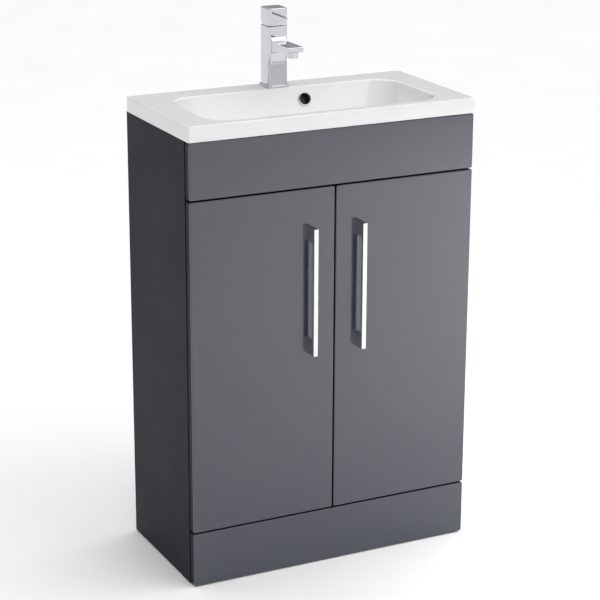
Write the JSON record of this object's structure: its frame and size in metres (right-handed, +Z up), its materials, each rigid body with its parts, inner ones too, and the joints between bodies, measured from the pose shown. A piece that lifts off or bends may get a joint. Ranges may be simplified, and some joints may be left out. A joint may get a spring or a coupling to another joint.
{
  "type": "bathroom vanity cabinet",
  "caption": "Floor-standing bathroom vanity cabinet: slim white basin on a gloss grey unit with overlay doors, bar handles, plinth and a lever tap.",
  "frame": {"origin": "on the floor, in the middle of the width and of the whole depth with the handles", "axes": "+Z up, doors face -Y, back against the wall towards +Y, +X to the right seen from behind the doors' front (viewer's right)"},
  "size_m": [0.6, 0.324, 1.066],
  "materials": {
    "gloss_lacquer": "high-gloss dark grey lacquer on MDF",
    "carcass_board": "satin grey melamine-faced board",
    "basin_glaze": "gloss white glaze",
    "chrome": "polished chrome",
    "nickel_steel": "nickel-plated steel",
    "brass": "turned brass",
    "black_plastic": "moulded",
    "clear_rubber": "soft bumper",
    "seal_rubber": "moulded seal"
  },
  "bodies": {
    "cabinet": {"left_side_panel": "gloss_lacquer", "right_side_panel": "gloss_lacquer", "bottom_panel": "carcass_board", "front_rail": "carcass_board", "plinth_rail": "carcass_board", "back_top_rail": "carcass_board", "back_low_rail": "carcass_board", "shelf": "carcass_board", "shelf_pins": "nickel_steel", "cam_fittings": "nickel_steel", "cam_bolts": "nickel_steel", "panel_brackets": "nickel_steel", "bracket_screws": "nickel_steel", "panel_spacers": "black_plastic", "rail_screws": "nickel_steel", "foot_glides": "black_plastic", "fascia_panel": "gloss_lacquer", "plinth_panel": "gloss_lacquer", "basin": "basin_glaze", "overflow_ring": "chrome", "waste_body": "chrome", "waste_washer": "seal_rubber", "waste_nut": "brass", "tap_base_ring": "chrome", "tap_body": "chrome", "spout_aerator": "chrome", "tap_cartridge": "black_plastic", "tap_stud": "nickel_steel", "tap_clamp_washer": "nickel_steel", "tap_stud_nut": "nickel_steel", "left_hinge_arms": "nickel_steel", "left_arm_pins": "nickel_steel", "left_hinge_plates": "nickel_steel", "left_plate_screws": "nickel_steel", "right_hinge_arms": "nickel_steel", "right_arm_pins": "nickel_steel", "right_hinge_plates": "nickel_steel", "right_plate_screws": "nickel_steel"},
    "left_hinge_link": {"left_hinge_links": "nickel_steel"},
    "right_hinge_link": {"right_hinge_links": "nickel_steel"},
    "left_door_leaf": {"left_door": "gloss_lacquer", "left_handle": "chrome", "left_handle_screws": "nickel_steel", "left_hinge_cups": "nickel_steel", "left_cup_screws": "nickel_steel", "left_cup_pins": "nickel_steel", "left_door_bumpers": "clear_rubber"},
    "right_door_leaf": {"right_door": "gloss_lacquer", "right_handle": "chrome", "right_handle_screws": "nickel_steel", "right_hinge_cups": "nickel_steel", "right_cup_screws": "nickel_steel", "right_cup_pins": "nickel_steel", "right_door_bumpers": "clear_rubber"},
    "tap_spindle": {"tap_spindle": "brass"},
    "tap_lever_head": {"tap_head": "chrome", "tap_head_pin": "nickel_steel", "tap_lever": "chrome"},
    "waste_plug": {"waste_plug": "chrome"}
  },
  "joints": [
    {"name": "left_link_hinge", "type": "hinge", "parent": "cabinet", "child": "left_hinge_link", "pos_m": [-0.275, -0.11, 0.441], "axis": [0, 0, 1], "range_deg": [0, 21.1]},
    {"name": "left_door_hinge", "type": "hinge", "parent": "left_hinge_link", "child": "left_door_leaf", "pos_m": [-0.291, -0.126, 0.441], "axis": [0, 0, -1], "range_deg": [0, 116]},
    {"name": "right_link_hinge", "type": "hinge", "parent": "cabinet", "child": "right_hinge_link", "pos_m": [0.275, -0.11, 0.441], "axis": [0, 0, -1], "range_deg": [0, 21.1]},
    {"name": "right_door_hinge", "type": "hinge", "parent": "right_hinge_link", "child": "right_door_leaf", "pos_m": [0.291, -0.126, 0.441], "axis": [0, 0, 1], "range_deg": [0, 116]},
    {"name": "tap_turn", "type": "hinge", "parent": "cabinet", "child": "tap_spindle", "pos_m": [0, 0.13, 1.031], "axis": [0, 0, 1], "range_deg": [-45, 45]},
    {"name": "tap_lift", "type": "hinge", "parent": "tap_spindle", "child": "tap_lever_head", "pos_m": [0, 0.13, 1.0445], "axis": [-1, 0, 0], "range_deg": [0, 22]},
    {"name": "plug_slide", "type": "slide", "parent": "cabinet", "child": "waste_plug", "axis": [0, 0, 1], "range_m": [0, 0.008]}
  ],
  "couplings": [
    {"joint": "left_link_hinge", "follows": "left_door_hinge", "ratio": 0.18103},
    {"joint": "right_link_hinge", "follows": "right_door_hinge", "ratio": 0.18103}
  ]
}
